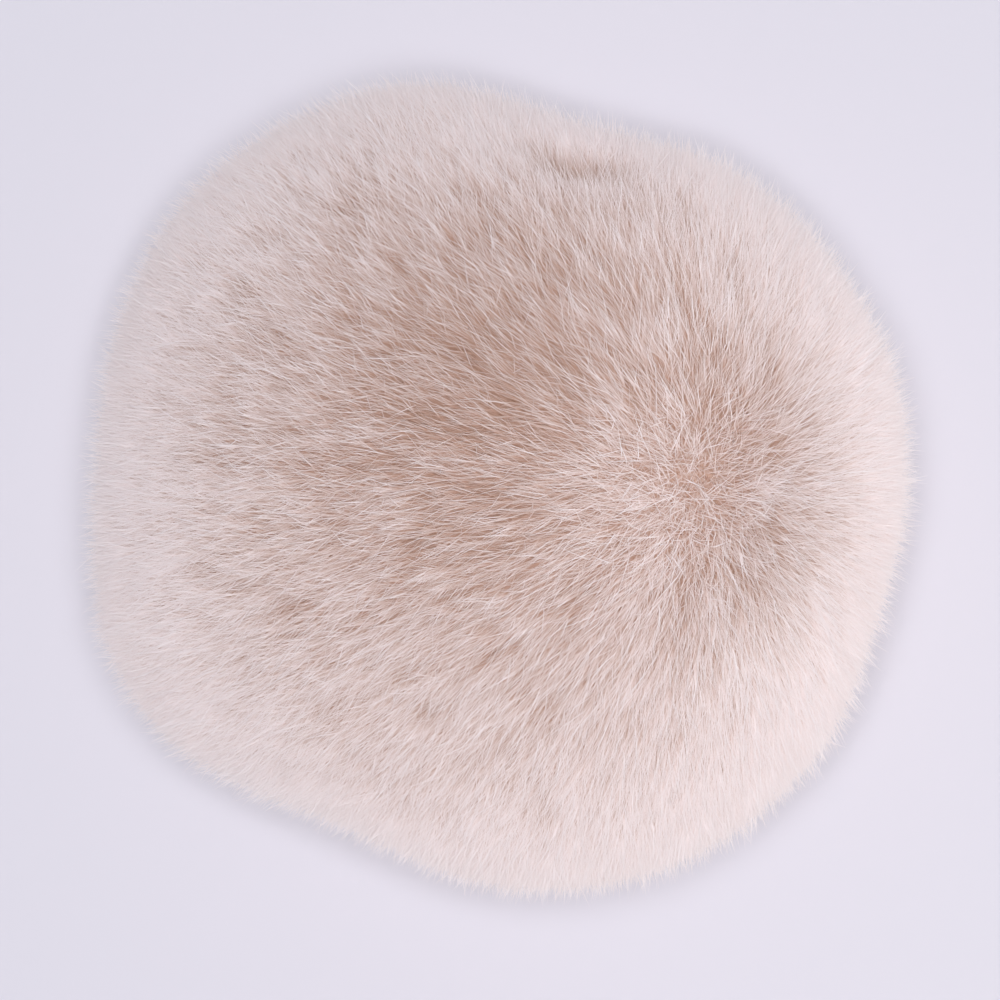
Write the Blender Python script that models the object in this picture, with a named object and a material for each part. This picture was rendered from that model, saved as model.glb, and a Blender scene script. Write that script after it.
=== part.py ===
"""A pom pom: one gathered ball of long soft fur pile, lying on a surface.

Metres, +Z up. The origin is on the surface under the middle of the ball's outline.
The ball is one solid: a dense, lumpy body of pile with a flat foot, and the locks of
pile that stand on it. Each lock is drawn out of a four-sided face of the body, bends
away from the crown, where the pile parts, and ends on the outline that the tips of the
pile make. Round the foot the locks are short, splay out and lie level on the surface.
"""

import math
import random

import bmesh
import bpy
from mathutils import Vector
from mathutils.kdtree import KDTree

# The outline of the tips: an upright ellipsoid about the ball's middle, with lobes.
RIM_RADIUS = 0.0553
RISE = 0.0490
DROP = 0.0500
MIDDLE = Vector((0.0011, -0.0005, 0.0465))

# Each lobe is a soft rise or dent in the outline, round one direction from the middle.
# name, bearing (degrees from +X towards +Y), elevation (degrees), spread (degrees), rise
LOBES = (
    ("upper_left_shoulder", 136, 0, 25, 0.0044),
    ("left_bulge", 206, -4, 15, 0.0046),
    ("top_shoulder", 104, 8, 8, 0.0012),
    ("top_parting", 79, 20, 10, -0.0048),
    ("top_hollow", 74, -8, 15, -0.0038),
    ("lower_left_flat", 246, 0, 13, -0.0040),
    ("lower_belly", 303, -5, 24, 0.0022),
    ("right_nick", 340, -4, 7, -0.0026),
    ("right_shoulder", 16, 6, 9, 0.0010),
    ("crown_swell", 0, 60, 26, 0.0014),
    ("far_slope", 160, 48, 24, -0.0016),
    ("near_slope", 285, 42, 20, 0.0010),
)

# The crown is where the pile parts and points straight out.
CROWN_BEARING = 0
CROWN_TILT = 27
LEAN = 20

# The dense body lies this deep below the tips, and comes up to them at the foot.
PILE_DEPTH = 0.0072
FOOT_ANGLE = 27
FULL_PILE_ANGLE = 58
BODY_DETAIL = 4
FOOT_CUT_REACH = 0.0003

# The locks, spaced evenly over the whole ball by a spiral.
LOCK_COUNT = 300
LOCK_STEPS = (0.38, 0.74)
LOCK_TAPER = 1.5
LOCK_KNEE = 0.55
TIP_SHORTFALL = 0.0018

# The locks round the foot lie out on the surface.
LOWEST_LOCK_ANGLE = 29
FLOOR_LOCK_ANGLE = 40
FLOOR_LOCK_REACH = 0.0050
FLOOR_KNEE_HEIGHT = 0.12

SEED = 5
GOLDEN_ANGLE = math.pi * (3 - math.sqrt(5))

FUR_COLOUR = (0.80, 0.68, 0.63, 1.0)
FUR_ROUGHNESS = 0.9


def direction(bearing, elevation):
    """The unit vector at a bearing and an elevation in degrees."""
    b = math.radians(bearing)
    e = math.radians(elevation)
    return Vector((math.cos(b) * math.cos(e), math.sin(b) * math.cos(e), math.sin(e)))


CROWN = direction(CROWN_BEARING, 90 - CROWN_TILT)
DOWN = Vector((0, 0, -1))
LOBE_AXES = [
    (direction(bearing, elevation), math.radians(spread), rise)
    for _, bearing, elevation, spread, rise in LOBES
]


def smooth_step(low, high, value):
    """0 below low, 1 above high, and a smooth rise between them."""
    t = min(1.0, max(0.0, (value - low) / (high - low)))
    return t * t * (3 - 2 * t)


def angle_from_foot(way):
    """Degrees between this direction and straight down."""
    return math.degrees(way.angle(DOWN))


def tip_reach(way):
    """How far from the middle the tips of the pile lie in this direction."""
    half_height = RISE if way.z > 0 else DROP
    flat = (way.x**2 + way.y**2) / RIM_RADIUS**2
    reach = 1 / math.sqrt(flat + way.z**2 / half_height**2)
    for axis, spread, rise in LOBE_AXES:
        reach += rise * math.exp(-0.5 * (way.angle(axis) / spread) ** 2)
    return reach


def pile_depth(way):
    """How deep the dense body lies below the tips in this direction."""
    return PILE_DEPTH * smooth_step(FOOT_ANGLE, FULL_PILE_ANGLE, angle_from_foot(way))


def make_body():
    """The dense ball, with its foot sliced flat where it is pressed on the surface."""
    bm = bmesh.new()
    bmesh.ops.create_icosphere(bm, subdivisions=BODY_DETAIL, radius=1.0)
    for vertex in bm.verts:
        way = vertex.co.normalized()
        vertex.co = MIDDLE + way * (tip_reach(way) - pile_depth(way))
    cut = bmesh.ops.bisect_plane(
        bm,
        geom=bm.verts[:] + bm.edges[:] + bm.faces[:],
        dist=FOOT_CUT_REACH,
        plane_co=(0, 0, 0),
        plane_no=DOWN,
        clear_outer=True,
    )
    rim = [item for item in cut["geom_cut"] if isinstance(item, bmesh.types.BMEdge)]
    for vertex in {v for edge in rim for v in edge.verts}:
        vertex.co.z = 0.0
    bmesh.ops.contextual_create(bm, geom=rim)
    bmesh.ops.recalc_face_normals(bm, faces=bm.faces[:])
    return bm


def lay_of_pile(way):
    """The way that the pile leans in this direction: away from the crown, none at the crown."""
    return way - CROWN * way.dot(CROWN)


def lock_faces(bm):
    """The triangles of the body that are nearest to evenly spaced directions."""
    faces = [face for face in bm.faces if len(face.verts) == 3]
    ways = [(face.calc_center_median() - MIDDLE).normalized() for face in faces]
    nearest = KDTree(len(faces))
    for i, way in enumerate(ways):
        nearest.insert(way, i)
    nearest.balance()
    chosen = set()
    for i in range(LOCK_COUNT):
        height = 1 - (2 * i + 1) / LOCK_COUNT
        ring = math.sqrt(1 - height**2)
        around = i * GOLDEN_ANGLE
        way = (ring * math.cos(around), ring * math.sin(around), height)
        _, found, _ = nearest.find(way)
        if angle_from_foot(ways[found]) > LOWEST_LOCK_ANGLE:
            chosen.add(found)
    return [faces[i] for i in sorted(chosen)]


def widen_root(bm, face, taken):
    """Joins a triangle to a free neighbour, so that the root is longest along the lay."""
    lay = lay_of_pile((face.calc_center_median() - MIDDLE).normalized())
    best = None
    for edge in face.edges:
        others = [other for other in edge.link_faces if other != face]
        if others[0] in taken or len(others[0].verts) != 3:
            continue
        along = abs((edge.verts[0].co - edge.verts[1].co).normalized().dot(lay))
        if best is None or along < best[0]:
            best = (along, edge, others[0])
    if best is None:
        return face
    taken.add(best[2])
    return bmesh.utils.face_join([face, best[2]])


def standing_lock(root, rng):
    """Knee and tip of a lock that ends on the outline, bent away from the crown."""
    way = (root - MIDDLE).normalized()
    tip_way = (way + lay_of_pile(way) * math.tan(math.radians(LEAN))).normalized()
    tip = MIDDLE + tip_way * (tip_reach(tip_way) - TIP_SHORTFALL * rng.random())
    knee = root + way * (LOCK_KNEE * pile_depth(way))
    return knee, tip


def floor_lock(root):
    """Knee and tip of a short lock by the foot, which splays out and lies on the surface."""
    outward = Vector((root.x - MIDDLE.x, root.y - MIDDLE.y, 0)).normalized()
    tip = root + outward * FLOOR_LOCK_REACH
    tip.z = 0.0
    knee = (root + tip) / 2
    knee.z = FLOOR_KNEE_HEIGHT * root.z
    return knee, tip


def draw_out_lock(bm, face, root, knee, tip):
    """Extrudes a face along the curve from root past knee to tip, tapering to a point."""
    corners = [corner.co - root for corner in face.verts]
    for t in LOCK_STEPS:
        centre = root * (1 - t) ** 2 + knee * (2 * t * (1 - t)) + tip * t**2
        face = bmesh.ops.extrude_discrete_faces(bm, faces=[face])["faces"][0]
        for vertex, corner in zip(face.verts, corners):
            vertex.co = centre + corner * (1 - t**LOCK_TAPER)
            vertex.co.z = max(0.0, vertex.co.z)
    point = bmesh.ops.poke(bm, faces=[face])["verts"][0]
    point.co = tip


def fur_material():
    material = bpy.data.materials.new("soft_fur")
    material.use_nodes = True
    shader = material.node_tree.nodes["Principled BSDF"]
    shader.inputs["Base Color"].default_value = FUR_COLOUR
    shader.inputs["Roughness"].default_value = FUR_ROUGHNESS
    material.diffuse_color = FUR_COLOUR
    return material


def main():
    for old in list(bpy.data.objects):
        bpy.data.objects.remove(old)
    rng = random.Random(SEED)
    bm = make_body()
    chosen = lock_faces(bm)
    taken = set(chosen)
    for face in [widen_root(bm, face, taken) for face in chosen]:
        root = face.calc_center_median()
        if angle_from_foot(root - MIDDLE) < FLOOR_LOCK_ANGLE:
            knee, tip = floor_lock(root)
        else:
            knee, tip = standing_lock(root, rng)
        draw_out_lock(bm, face, root, knee, tip)
    mesh = bpy.data.meshes.new("pile_ball")
    bm.to_mesh(mesh)
    bm.free()
    mesh.materials.append(fur_material())
    ball = bpy.data.objects.new("pile_ball", mesh)
    bpy.context.scene.collection.objects.link(ball)


main()
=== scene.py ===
"""The looks of the pom pom: its dense pile ball and the fine hairs that stand on it.

Metres, +Z up. The pile ball is a lumpy closed surface. Over four hundred thousand hairs grow
out of it in small tufts, lean away from the crown and end near the pom pom's outline.
"""

import math

import bpy
import numpy as np
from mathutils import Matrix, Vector


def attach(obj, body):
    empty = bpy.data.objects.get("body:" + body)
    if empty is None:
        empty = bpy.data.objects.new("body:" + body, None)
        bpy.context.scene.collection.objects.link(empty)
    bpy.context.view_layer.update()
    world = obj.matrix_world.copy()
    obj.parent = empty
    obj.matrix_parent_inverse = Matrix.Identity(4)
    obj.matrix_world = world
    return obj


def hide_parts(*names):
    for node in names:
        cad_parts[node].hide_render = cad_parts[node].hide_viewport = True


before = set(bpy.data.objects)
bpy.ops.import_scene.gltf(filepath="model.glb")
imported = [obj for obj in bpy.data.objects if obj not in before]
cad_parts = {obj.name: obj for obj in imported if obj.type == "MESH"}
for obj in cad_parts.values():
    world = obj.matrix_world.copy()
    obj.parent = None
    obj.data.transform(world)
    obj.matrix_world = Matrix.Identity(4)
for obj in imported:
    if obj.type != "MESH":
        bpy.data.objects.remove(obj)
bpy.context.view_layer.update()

# The outline of the tips, as in the solids: an upright ellipsoid about a middle, with lobes.
RIM_RADIUS = 0.0553
RISE = 0.0490
DROP = 0.0500
MIDDLE = np.array((0.0011, -0.0005, 0.0465))

# name, bearing (degrees from +X towards +Y), elevation (degrees), spread (degrees), rise
LOBES = (
    ("upper_left_shoulder", 136, 0, 25, 0.0044),
    ("left_bulge", 206, -4, 15, 0.0046),
    ("top_shoulder", 104, 8, 8, 0.0012),
    ("top_parting", 79, 20, 10, -0.0048),
    ("top_hollow", 74, -8, 15, -0.0038),
    ("lower_left_flat", 246, 0, 13, -0.0040),
    ("lower_belly", 303, -5, 24, 0.0022),
    ("right_nick", 340, -4, 7, -0.0026),
    ("right_shoulder", 16, 6, 9, 0.0010),
    ("crown_swell", 0, 60, 26, 0.0014),
    ("far_slope", 160, 48, 24, -0.0016),
    ("near_slope", 285, 42, 20, 0.0010),
)

# The crown is where the pile parts and points straight out. Because the hairs lean, those
# that point straight up stand nearer the top. A tilt is in degrees from straight up.
CROWN_BEARING = -0.5
CROWN_TILT = 43
SEEN_CROWN_TILT = 28
CROWN_SPREAD = 9

# The dense ball: its depth below the tips, which is less round the crown, and its foot,
# where the pile thins out between two angles from straight down.
PILE_DEPTH = 0.0068
CROWN_PILE_DEPTH = 0.0058
SHALLOW_TILT = 36
SHALLOW_SPREAD = 17
FOOT_ANGLE = 27
FULL_PILE_ANGLE = 58
FOOT_DEPTH = 0.0009
BALL_ROUND = 150
BALL_RISE = 90
BALL_LUMP = 0.0004
BALL_LUMP_SPACING = 0.006
BALL_LUMP_SEED = 3

# The hairs, in pieces of tufts. A tuft's roots fill an ellipse, longest along the lay.
HAIR_PIECES = 5
HAIR_SEED = 7
TUFTS_IN_PIECE = 2000
HAIRS_IN_TUFT = 51
TUFT_SCATTER = 0.006
TUFT_WIDTH = 0.0011
TUFT_LENGTH = 0.0034
ROOT_DEPTH = 0.0098
FOOT_SHARE = 0.14

# The tufts left out: some below a height, some where the pile is open, and most on the foot.
LOW_HEIGHT = -0.3
LOW_THINNING = 0.15
OPEN_THINNING = 0.12
BARE_SHARE = 0.02
FOOT_TUFTS_KEPT = 0.4

# A hair's own shape: the places of its base and its widest point on its curve, its width,
# its roll about its length, and how much of its normal points up and out of the ball.
KNEE_RISE = 0.5
BASE_AT = 0.40
WIDEST_AT = 0.68
HAIR_WAVE = 0.00022
HAIR_HALF_WIDTH = 0.000058
WIDTH_RANGE = (0.7, 1.3)
FLAT_ROLL = 0.25
SOFT_NORMAL_SHARE = 0.5
SOFT_NORMAL_LIFT = 1.2
LOWEST_HAIR_POINT = 0.0002

# How far a tip is shifted along the lay. The shift is full at one angle from the crown,
# eased at the next, and gone at the last.
SHIFT_ALONG_LAY = 0.0054
FULL_SHIFT_ANGLE = 23
EASED_SHIFT_ANGLE = 90
EASED_SHARE = 0.35
LAST_SHIFT_ANGLE = 120
NO_SHIFT_ANGLE = 170
FOOT_SHIFT_SHARE = 0.25

# Soft swirls that neighbours share, and the stray of each tuft and each hair.
WIDE_SWIRL = 0.00033
WIDE_SWIRL_SPACING = 0.014
WIDE_SWIRL_SEED = 11
SMALL_SWIRL = 0.00036
SMALL_SWIRL_SPACING = 0.005
SMALL_SWIRL_SEED = 12
TUFT_STRAY = 0.0007
HAIR_STRAY = 0.0014
CROWN_STRAY = 0.0014

# How wide a tuft is at its tips, as a share of its width at the roots.
TIP_SPREAD = 0.9
OPEN_TIP_SPREAD = 0.35

# How far a hair's tip stands past the outline or falls short of it. Few hairs are long.
TIP_PROUD = 0.0001
LONG_HAIR = 0.0028
LONG_HAIR_RARITY = 6
HAIR_SHORTFALL = 0.0021
OPEN_HAIR_SHORTFALL = 0.0050
RARITY = 1.2
OPEN_RARITY = 0.5
TUFT_SHORTFALL = 0.0005
EDGE_SHORTFALL = 0.0008
CLOSED_EDGE_SHARE = 0.3

# Where the pile is most open, with tan between pale tips, and where it is smooth.
OPEN_BEARING = 88
OPEN_TILT = 13
OPEN_SPREAD = 34
SMOOTH_BEARING = -12
SMOOTH_TILT = 75
SMOOTH_SPREAD = 22

# The small pit near the top edge where the pile is short.
PIT_BEARING = 79
PIT_ELEVATION = 21
PIT_SPREAD = 6
PIT_SHORTFALL = 0.0031
PIT_IN_BALL = 0.0015

# A hair's UV map: its tone across, partly its tuft's own, and its nearness to the outline
# upwards, which is raised a little at the crown and down the sides to make them paler: painted
# light where the lamps leave the end-on hairs of the crown and the lower sides darker.
UV_HALF_WIDTH = 0.004
UV_RANGE = (0.01, 0.99)
TUFT_TONE_SHARE = 0.4
CROWN_PAINTED_LIGHT = 0.10
SIDE_PAINTED_LIGHT = 0.08
SIDE_PAINTED_LIGHT_HEIGHTS = (0.2, 0.8)

# Colours of a hair from deep in the pile to its tip, partly the fur's own tan roots and partly
# painted shade that darkens it the deeper it lies, and the tones of tufts: place, colour.
FUR_AND_PAINTED_SHADE_BY_DEPTH = (
    (0.35, (0.36, 0.21, 0.15, 1)),
    (0.62, (0.52, 0.345, 0.275, 1)),
    (0.86, (0.873, 0.798, 0.807, 1)),
    (1.0, (0.89, 0.852, 0.885, 1)),
)
FUR_TONES = ((0.0, (0.90, 0.87, 0.86, 1)), (1.0, (1.0, 1.0, 1.0, 1)))
HAIR_ROUGHNESS = 0.8

# The dense pile's mottled tan, which gives way to a paler colour towards the foot: painted
# light on the lower part of the ball, where the lamp overhead gives little.
DENSE_MOTTLE = ((0.35, (0.56, 0.39, 0.32, 1)), (0.7, (0.66, 0.48, 0.41, 1)))
DENSE_MOTTLE_SCALE = 900
DENSE_ROUGHNESS = 0.9
FOOT_PAINTED_LIGHT_COLOUR = (0.84, 0.76, 0.74, 1)
FOOT_PAINTED_LIGHT_HEIGHTS = (0.004, 0.050)

# The studio: a pale floor, soft world light, a soft lamp overhead, and weak lamps low
# round the ball that cast no shadow.
FLOOR_SIDE = 3.0
FLOOR_COLOUR = (0.685, 0.675, 0.755, 1)
FLOOR_ROUGHNESS = 0.9
WORLD_COLOUR = (0.93, 0.93, 1.0, 1)
WORLD_STRENGTH = 0.19
OVERHEAD_PLACE = (0.0, 0.0, 1.50)
OVERHEAD_SIZE = 0.28
OVERHEAD_POWER = 15.6
OVERHEAD_COLOUR = (0.98, 0.98, 1.0)
FILL_SIZE = 0.35

# name, place, power, colour
FILL_LAMPS = (
    ("fill_near_right", (0.50, -0.38, 0.34), 1.70, (1.0, 0.95, 0.87)),
    ("fill_near_left", (-0.45, -0.45, 0.06), 0.85, (1.0, 0.98, 0.97)),
    ("fill_far_left", (-0.50, 0.40, 0.06), 0.85, (1.0, 0.98, 0.97)),
    ("fill_far_right", (0.40, 0.50, 0.06), 0.85, (1.0, 0.98, 0.95)),
)

# The camera looks straight down, from a little left of the ball's middle and nearer.
CAMERA_DISTANCE = 1.0
CAMERA_LEFT = 0.00069
CAMERA_NEAR = 0.00179
CAMERA_CLIP_START = 0.05
PICTURE_WIDTH = 0.1375
SENSOR_WIDTH = 36

GOLDEN_ANGLE = math.pi * (3 - math.sqrt(5))


def direction(bearing, elevation):
    """The unit vector at a bearing and an elevation in degrees."""
    b = math.radians(bearing)
    e = math.radians(elevation)
    return np.array((math.cos(b) * math.cos(e), math.sin(b) * math.cos(e), math.sin(e)))


CROWN = direction(CROWN_BEARING, 90 - CROWN_TILT)
SEEN_CROWN = direction(CROWN_BEARING, 90 - SEEN_CROWN_TILT)
SHALLOW_CROWN = direction(CROWN_BEARING, 90 - SHALLOW_TILT)
OPEN_PILE = direction(OPEN_BEARING, 90 - OPEN_TILT)
SMOOTH_PILE = direction(SMOOTH_BEARING, 90 - SMOOTH_TILT)
PIT = direction(PIT_BEARING, PIT_ELEVATION)
UP = np.array((0.0, 0.0, 1.0))


def unit(vectors):
    """Each vector divided by its length."""
    return vectors / np.maximum(np.linalg.norm(vectors, axis=-1, keepdims=True), 1e-12)


def smooth_step(low, high, value):
    """0 below low, 1 above high, and 3t^2 - 2t^3 between them."""
    t = np.clip((value - low) / (high - low), 0, 1)
    return t * t * (3 - 2 * t)


def angle_between(ways, axis):
    """Degrees between each unit vector and one axis: the arc cosine of their dot product."""
    return np.degrees(np.arccos(np.clip(ways @ axis, -1, 1)))


def bell(angle, spread):
    """A bell curve of an angle: 1 in the middle, 0.6 one spread away."""
    return np.exp(-0.5 * (angle / spread) ** 2)


def tip_reach(ways):
    """The ellipsoid's radius in each direction, plus a bell curve of angle for each lobe."""
    half_height = np.where(ways[..., 2] > 0, RISE, DROP)
    flat = (ways[..., 0] ** 2 + ways[..., 1] ** 2) / RIM_RADIUS**2
    reach = 1 / np.sqrt(flat + (ways[..., 2] / half_height) ** 2)
    for _, bearing, elevation, spread, rise in LOBES:
        reach = reach + rise * bell(angle_between(ways, direction(bearing, elevation)), spread)
    return reach


def depth_in_pile(points):
    """The outline's radius in each point's direction, less the point's distance out."""
    out = points - MIDDLE
    return tip_reach(unit(out)) - np.linalg.norm(out, axis=-1)


def pile_share(ways):
    """How much of the full pile stands in each direction: none under the foot, all above it."""
    return smooth_step(FOOT_ANGLE, FULL_PILE_ANGLE, angle_between(ways, -UP))


def spiral_ways(count, first, step):
    """Evenly spaced directions: heights in equal steps, each turned on by the golden angle."""
    i = np.arange(first, count, step)
    height = 1 - (2 * i + 1) / count
    ring = np.sqrt(1 - height**2)
    around = i * GOLDEN_ANGLE
    return np.stack((ring * np.cos(around), ring * np.sin(around), height), axis=-1)


def soft_noise(points, spacing, seed, waves=12):
    """A smooth vector field: the mean of sine waves with random directions and phases."""
    rng = np.random.default_rng(seed)
    headings = unit(rng.normal(size=(waves, 3))) * (2 * math.pi / spacing)
    headings *= rng.uniform(0.7, 1.4, size=(waves, 1))
    phases = rng.uniform(0, 2 * math.pi, size=(waves, 3))
    turns = points @ headings.T
    return np.sin(turns[..., None] + phases).mean(axis=-2) * math.sqrt(2 * waves) / 2


def piece_from(name, points, triangles, uv, normals=None):
    """A mesh object from whole arrays of points, triangles, each point's UV and its normal."""
    mesh = bpy.data.meshes.new(name)
    mesh.vertices.add(len(points))
    mesh.vertices.foreach_set("co", points.astype(np.float32).ravel())
    mesh.loops.add(triangles.size)
    mesh.loops.foreach_set("vertex_index", triangles.astype(np.int32).ravel())
    mesh.polygons.add(len(triangles))
    mesh.polygons.foreach_set("loop_start", np.arange(0, triangles.size, 3, dtype=np.int32))
    layer = mesh.uv_layers.new(name="OFBake")
    layer.data.foreach_set("uv", uv[triangles.ravel()].astype(np.float32).ravel())
    mesh.update(calc_edges=True)
    if normals is not None:
        mesh.normals_split_custom_set_from_vertices(normals.astype(np.float32))
    made = bpy.data.objects.new(name, mesh)
    bpy.context.scene.collection.objects.link(made)
    return made


def tuft_ways(number, rng):
    """The directions of a piece's tufts, their share of the full pile, and how open it is.

    Each piece takes its own turns of one spiral, scattered a little. Openness is a bell curve
    round the open pile, less one round the smooth pile. Tufts are left out at random. The
    share is kept above a least value, so that hairs stand on the foot too.
    """
    ways = spiral_ways(TUFTS_IN_PIECE * HAIR_PIECES, number, HAIR_PIECES)
    ways = unit(ways + rng.normal(size=ways.shape) * TUFT_SCATTER)
    share = pile_share(ways)
    openness = bell(angle_between(ways, OPEN_PILE), OPEN_SPREAD)
    openness = openness * (1 - bell(angle_between(ways, SMOOTH_PILE), SMOOTH_SPREAD))
    wanted = 1 - LOW_THINNING * (ways[:, 2] < LOW_HEIGHT) - OPEN_THINNING * openness
    wanted = np.where(share > BARE_SHARE, wanted, FOOT_TUFTS_KEPT)
    keep = rng.random(len(ways)) < wanted
    return ways[keep], np.maximum(share[keep], FOOT_SHARE), openness[keep, None]


def lay_of_pile(ways):
    """The way that the pile leans: away from the crown, with a strength that goes by angle."""
    from_crown = angle_between(ways, CROWN)
    strength = smooth_step(0, FULL_SHIFT_ANGLE, from_crown)
    eased = smooth_step(FULL_SHIFT_ANGLE, EASED_SHIFT_ANGLE, from_crown)
    strength = strength * (1 - (1 - EASED_SHARE) * eased)
    strength = strength * (1 - smooth_step(LAST_SHIFT_ANGLE, NO_SHIFT_ANGLE, from_crown))
    return unit(ways * (ways @ CROWN)[:, None] - CROWN) * strength[:, None]


def root_offsets(ways, lay, rng):
    """Where each hair stands in its tuft: 0 in the middle to 1 at the edge, and its offset.

    The places fill a disc evenly. The disc is stretched along the lay and narrowed across.
    """
    along_lay = unit(lay)[:, None]
    across = np.cross(ways[:, None], along_lay)
    edge = np.sqrt(rng.random((len(ways), HAIRS_IN_TUFT)))
    turn = rng.uniform(0, 2 * math.pi, size=edge.shape)[..., None]
    offset = np.cos(turn) * across * TUFT_WIDTH + np.sin(turn) * along_lay * TUFT_LENGTH
    return edge, offset * edge[..., None]


def tip_shifts(ways, lay, share, near_crown, rng):
    """How far each tip is moved from its place over the root: lay, swirls and random stray."""
    rim = MIDDLE + ways * RIM_RADIUS
    swirl = soft_noise(rim, WIDE_SWIRL_SPACING, WIDE_SWIRL_SEED) * WIDE_SWIRL
    swirl = swirl + soft_noise(rim, SMALL_SWIRL_SPACING, SMALL_SWIRL_SEED) * SMALL_SWIRL
    shift = lay * SHIFT_ALONG_LAY + swirl + rng.normal(size=ways.shape) * TUFT_STRAY
    stray = (HAIR_STRAY + CROWN_STRAY * near_crown)[:, None]
    shift = shift[:, None] + rng.normal(size=(len(ways), HAIRS_IN_TUFT, 3)) * stray
    return shift * (FOOT_SHIFT_SHARE + (1 - FOOT_SHIFT_SHARE) * share[:, None, None])


def tip_shortfalls(tip_ways, share, openness, edge, rng):
    """How far each tip ends below the outline.

    It is a random part for the tuft, a part that grows with the square of the place in the
    tuft, a random power for the hair, larger in the open pile, less a few hairs' extra
    length, all times the pile's share there. A bell curve is added for the pit.
    """
    short = TUFT_SHORTFALL * rng.random((len(share), 1))
    edge_share = CLOSED_EDGE_SHARE + (1 - CLOSED_EDGE_SHARE) * openness
    short = short + EDGE_SHORTFALL * edge_share * edge**2
    rarity = RARITY + (OPEN_RARITY - RARITY) * openness
    most = HAIR_SHORTFALL + (OPEN_HAIR_SHORTFALL - HAIR_SHORTFALL) * openness
    short = short + most * rng.random(edge.shape) ** rarity
    short = short - TIP_PROUD - LONG_HAIR * rng.random(edge.shape) ** LONG_HAIR_RARITY
    short = short * share[:, None]
    return short + PIT_SHORTFALL * bell(angle_between(tip_ways, PIT), PIT_SPREAD)


def hair_curve(root, tip, rng):
    """Each hair's base and widest point: places on a quadratic curve from root to tip.

    The curve leaves the root straight out of the ball. The widest point is waved a little.
    """
    rise = np.linalg.norm(tip - root, axis=-1, keepdims=True)
    knee = root + unit(root - MIDDLE) * rise * KNEE_RISE
    base, middle = (
        root * (1 - t) ** 2 + knee * (2 * t * (1 - t)) + tip * t**2 for t in (BASE_AT, WIDEST_AT)
    )
    return base, middle + rng.normal(size=middle.shape) * HAIR_WAVE


def hair_ribbons(base, middle, tip, rng):
    """Each hair's four points, base, two sides of its widest point and tip, and its normal.

    The width lies across the hair and roughly across the ball's outward direction, rolled a
    little at random. The normal is a mix of the ribbon's own and of up and outwards.
    """
    outward = unit(unit(middle - MIDDLE) + UP * SOFT_NORMAL_LIFT)
    heading = unit(tip - middle)
    side = unit(np.cross(heading, outward))
    flat = np.cross(side, heading)
    roll = rng.normal(size=(len(base), 1)) * FLAT_ROLL
    side = side * np.cos(roll) + flat * np.sin(roll)
    wide = side * HAIR_HALF_WIDTH * rng.uniform(*WIDTH_RANGE, size=(len(base), 1))
    points = np.stack((base, middle - wide, middle + wide, tip), axis=1)
    points[..., 2] = np.maximum(points[..., 2], LOWEST_HAIR_POINT)
    facing = unit(np.cross(side, heading))
    return points, unit(facing + (outward - facing) * SOFT_NORMAL_SHARE)


def hair_uv(base, middle, short, ways, near_crown, rng):
    """The UV of each hair's four points: random tone, and 1 less the depth over the pile's,
    raised by painted light at the crown and low down the sides.
    """
    tone = np.repeat(rng.random(len(ways)) * TUFT_TONE_SHARE, HAIRS_IN_TUFT)
    tone = tone + rng.random(len(base)) * (1 - TUFT_TONE_SHARE)
    tone = np.clip(tone[:, None] + UV_HALF_WIDTH * np.array((0, -1, 1, 0)), *UV_RANGE)
    middle_depth = depth_in_pile(middle)
    depth = np.stack((depth_in_pile(base), middle_depth, middle_depth, short), axis=-1)
    # Painted light: hairs at the crown and low down the sides are made paler.
    painted_light = near_crown * CROWN_PAINTED_LIGHT
    painted_light = painted_light + SIDE_PAINTED_LIGHT * (1 - smooth_step(*SIDE_PAINTED_LIGHT_HEIGHTS, ways[:, 2:]))
    painted_light = np.repeat(painted_light, HAIRS_IN_TUFT, axis=0)
    along = np.clip(1 - depth / ROOT_DEPTH + painted_light, *UV_RANGE)
    return np.stack((tone, along), axis=-1)


def hair_piece(name, number, rng):
    """Tufts of hairs. Each hair is two long triangles that share its width at its widest point.

    A hair's tip is over its root, shifted, drawn towards its tuft's middle, and set at the
    height of the outline less its shortfall.
    """
    ways, share, openness = tuft_ways(number, rng)
    lay = lay_of_pile(ways)
    near_crown = bell(angle_between(ways, SEEN_CROWN), CROWN_SPREAD)[:, None]
    edge, offset = root_offsets(ways, lay, rng)
    shift = tip_shifts(ways, lay, share, near_crown, rng)
    spread = TIP_SPREAD + (OPEN_TIP_SPREAD - TIP_SPREAD) * openness * (1 - near_crown)

    deep = tip_reach(ways) - ROOT_DEPTH * share
    root = (MIDDLE + ways * deep[:, None])[:, None] + offset
    tip_ways = unit(root + shift - offset * (1 - spread[:, None]) - MIDDLE)
    short = tip_shortfalls(tip_ways, share, openness, edge, rng)
    tip = MIDDLE + tip_ways * (tip_reach(tip_ways) - short)[..., None]

    root, tip = root.reshape(-1, 3), tip.reshape(-1, 3)
    base, middle = hair_curve(root, tip, rng)
    points, normals = hair_ribbons(base, middle, tip, rng)
    uv = hair_uv(base, middle, short.ravel(), ways, near_crown, rng)
    first = np.arange(len(root))[:, None, None] * 4
    triangles = first + np.array(((0, 2, 1), (1, 2, 3)))
    points, triangles, uv = points.reshape(-1, 3), triangles.reshape(-1, 3), uv.reshape(-1, 2)
    return piece_from(name, points, triangles, uv, np.repeat(normals, 4, axis=0))


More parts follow.
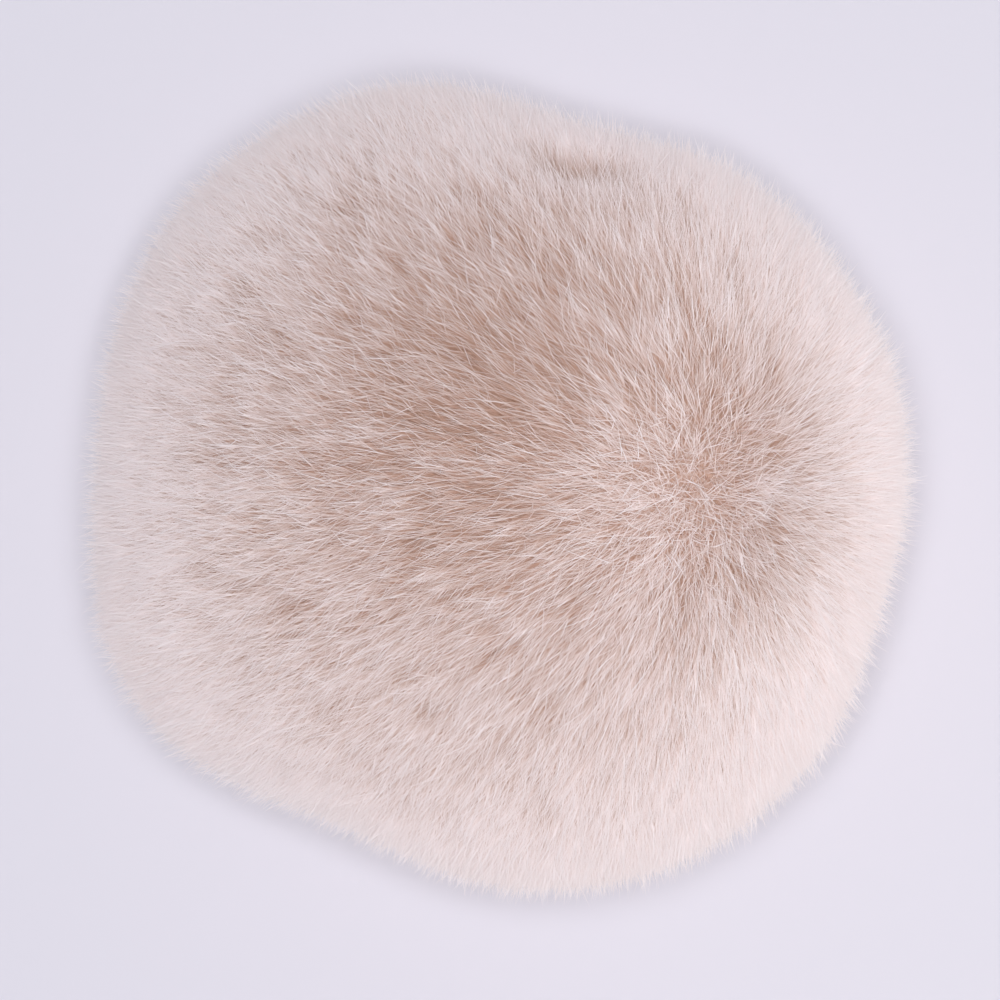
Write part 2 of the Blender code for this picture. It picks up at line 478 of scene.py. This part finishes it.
def pile_ball():
    """The dense pile as a closed surface: a grid of bearing and elevation, closed at both poles.

    Its radius is the outline's, less the pile's depth. Points below the surface it lies on
    are lifted onto it, which gives the ball its flat foot.
    """
    bearing = np.linspace(0, 2 * math.pi, BALL_ROUND, endpoint=False)
    elevation = np.linspace(-math.pi / 2, math.pi / 2, BALL_RISE + 1)[1:-1]
    b, e = np.meshgrid(bearing, elevation)
    ways = np.stack((np.cos(b) * np.cos(e), np.sin(b) * np.cos(e), np.sin(e)), axis=-1)
    ways = np.concatenate((ways.reshape(-1, 3), ((0, 0, -1), (0, 0, 1))))
    lump = soft_noise(ways * RIM_RADIUS, BALL_LUMP_SPACING, BALL_LUMP_SEED)[:, 0] * BALL_LUMP
    shallow = bell(angle_between(ways, SHALLOW_CROWN), SHALLOW_SPREAD)
    depth = PILE_DEPTH + (CROWN_PILE_DEPTH - PILE_DEPTH) * shallow + lump
    depth = depth + PIT_IN_BALL * bell(angle_between(ways, PIT), PIT_SPREAD)
    share = pile_share(ways)
    reach = tip_reach(ways) - depth * share - FOOT_DEPTH * (1 - share)
    points = MIDDLE + ways * reach[:, None]
    points[:, 2] = np.maximum(points[:, 2], 0.0)

    rows = len(elevation)
    i = np.arange(BALL_ROUND)
    j = (i + 1) % BALL_ROUND
    low = (np.arange(rows - 1) * BALL_ROUND)[:, None]
    lower = np.stack((low + i, low + j, low + BALL_ROUND + j), axis=-1)
    upper = np.stack((low + i, low + BALL_ROUND + j, low + BALL_ROUND + i), axis=-1)
    bottom, top = len(points) - 2, len(points) - 1
    last = (rows - 1) * BALL_ROUND
    under = np.stack((j, i, np.full_like(i, bottom)), axis=-1)
    over = np.stack((last + i, last + j, np.full_like(i, top)), axis=-1)
    triangles = np.concatenate([part.reshape(-1, 3) for part in (lower, upper, under, over)])
    uv = np.stack((ways[:, 0] * 0.5 + 0.5, ways[:, 1] * 0.5 + 0.5), axis=-1)
    return piece_from("dense_pile", points, triangles, uv)


def matt_material(name, roughness):
    """A new material with no gloss: itself, its nodes, its links and its shader."""
    material = bpy.data.materials.new(name)
    material.use_nodes = True
    nodes = material.node_tree.nodes
    shader = nodes["Principled BSDF"]
    shader.inputs["Roughness"].default_value = roughness
    shader.inputs["Specular IOR Level"].default_value = 0.0
    return material, nodes, material.node_tree.links, shader


def colour_ramp(nodes, stops):
    """A colour ramp node with these stops, each a place from 0 to 1 and its colour."""
    ramp = nodes.new("ShaderNodeValToRGB")
    first, last = ramp.color_ramp.elements
    first.position, first.color = stops[0]
    last.position, last.color = stops[-1]
    for position, colour in stops[1:-1]:
        ramp.color_ramp.elements.new(position).color = colour
    return ramp


def hair_material():
    """Fur: tan deep down, partly its own colour and partly painted shade, pale at the tip,
    and each hair and tuft a little lighter or darker.
    """
    material, nodes, links, shader = matt_material("soft_fur_hair", HAIR_ROUGHNESS)
    uv = nodes.new("ShaderNodeUVMap")
    uv.uv_map = "OFBake"
    split = nodes.new("ShaderNodeSeparateXYZ")
    # Painted shade: the ramp by depth darkens each hair towards its root, on top of its own tan.
    tan_and_painted_shade_by_depth = colour_ramp(nodes, FUR_AND_PAINTED_SHADE_BY_DEPTH)
    tone = colour_ramp(nodes, FUR_TONES)
    mix = nodes.new("ShaderNodeMix")
    mix.data_type = "RGBA"
    mix.blend_type = "MULTIPLY"
    mix.inputs["Factor"].default_value = 1.0
    links.new(uv.outputs["UV"], split.inputs["Vector"])
    links.new(split.outputs["X"], tone.inputs["Fac"])
    links.new(split.outputs["Y"], tan_and_painted_shade_by_depth.inputs["Fac"])
    links.new(tan_and_painted_shade_by_depth.outputs["Color"], mix.inputs["A"])
    links.new(tone.outputs["Color"], mix.inputs["B"])
    links.new(mix.outputs["Result"], shader.inputs["Base Color"])
    return material


def dense_material():
    """The dense pile deep between the hairs: warm mottled tan, and paler towards the foot,
    which is painted light low on the ball.
    """
    material, nodes, links, shader = matt_material("dense_pile_fur", DENSE_ROUGHNESS)
    place = nodes.new("ShaderNodeTexCoord")
    noise = nodes.new("ShaderNodeTexNoise")
    noise.inputs["Scale"].default_value = DENSE_MOTTLE_SCALE
    mottle = colour_ramp(nodes, DENSE_MOTTLE)
    split = nodes.new("ShaderNodeSeparateXYZ")
    # Painted light: the pile is made paler low down, towards the foot.
    height = nodes.new("ShaderNodeMapRange")
    height.inputs["From Min"].default_value = FOOT_PAINTED_LIGHT_HEIGHTS[0]
    height.inputs["From Max"].default_value = FOOT_PAINTED_LIGHT_HEIGHTS[1]
    mix = nodes.new("ShaderNodeMix")
    mix.data_type = "RGBA"
    mix.inputs["A"].default_value = FOOT_PAINTED_LIGHT_COLOUR
    links.new(place.outputs["Object"], noise.inputs["Vector"])
    links.new(place.outputs["Object"], split.inputs["Vector"])
    links.new(noise.outputs["Fac"], mottle.inputs["Fac"])
    links.new(split.outputs["Z"], height.inputs["Value"])
    links.new(height.outputs["Result"], mix.inputs["Factor"])
    links.new(mottle.outputs["Color"], mix.inputs["B"])
    links.new(mix.outputs["Result"], shader.inputs["Base Color"])
    return material


def make_floor():
    bpy.ops.mesh.primitive_plane_add(size=FLOOR_SIDE)
    floor = bpy.context.object
    floor.name = "floor"
    material = bpy.data.materials.new("pale_floor")
    material.use_nodes = True
    shader = material.node_tree.nodes["Principled BSDF"]
    shader.inputs["Base Color"].default_value = FLOOR_COLOUR
    shader.inputs["Roughness"].default_value = FLOOR_ROUGHNESS
    floor.data.materials.append(material)


def make_light(name, place, size, power, colour):
    """A square lamp that the camera doesn't see, turned towards the ball's middle."""
    lamp = bpy.data.lights.new(name, "AREA")
    lamp.size = size
    lamp.energy = power
    lamp.color = colour
    made = bpy.data.objects.new(name, lamp)
    made.visible_camera = False
    made.location = place
    made.rotation_mode = "QUATERNION"
    made.rotation_quaternion = Vector(MIDDLE - np.array(place)).to_track_quat("-Z", "Y")
    bpy.context.scene.collection.objects.link(made)
    return lamp


def make_lights():
    make_light("overhead", OVERHEAD_PLACE, OVERHEAD_SIZE, OVERHEAD_POWER, OVERHEAD_COLOUR)
    for name, place, power, colour in FILL_LAMPS:
        make_light(name, place, FILL_SIZE, power, colour).use_shadow = False


def make_camera():
    """Straight above, looking down; the picture's width is measured at the ball's middle."""
    camera = bpy.data.cameras.new("camera")
    camera.sensor_width = SENSOR_WIDTH
    camera.lens = SENSOR_WIDTH * CAMERA_DISTANCE / PICTURE_WIDTH
    camera.clip_start = CAMERA_CLIP_START
    made = bpy.data.objects.new("camera", camera)
    made.location = MIDDLE + np.array((-CAMERA_LEFT, -CAMERA_NEAR, CAMERA_DISTANCE))
    bpy.context.scene.collection.objects.link(made)
    bpy.context.scene.camera = made


def make_world():
    world = bpy.data.worlds.new("studio")
    world.use_nodes = True
    back = world.node_tree.nodes["Background"]
    back.inputs["Color"].default_value = WORLD_COLOUR
    back.inputs["Strength"].default_value = WORLD_STRENGTH
    bpy.context.scene.world = world


bpy.context.scene.view_settings.view_transform = "Standard"
make_camera()
make_world()
make_floor()
make_lights()

ball = pile_ball()
ball.data.materials.append(dense_material())
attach(ball, "root")
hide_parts("pile_ball")

fur = hair_material()
hair_rng = np.random.default_rng(HAIR_SEED)
for number in range(HAIR_PIECES):
    hairs = hair_piece(f"fur_hair_{number + 1}", number, hair_rng)
    hairs.data.materials.append(fur)
    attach(hairs, "root")
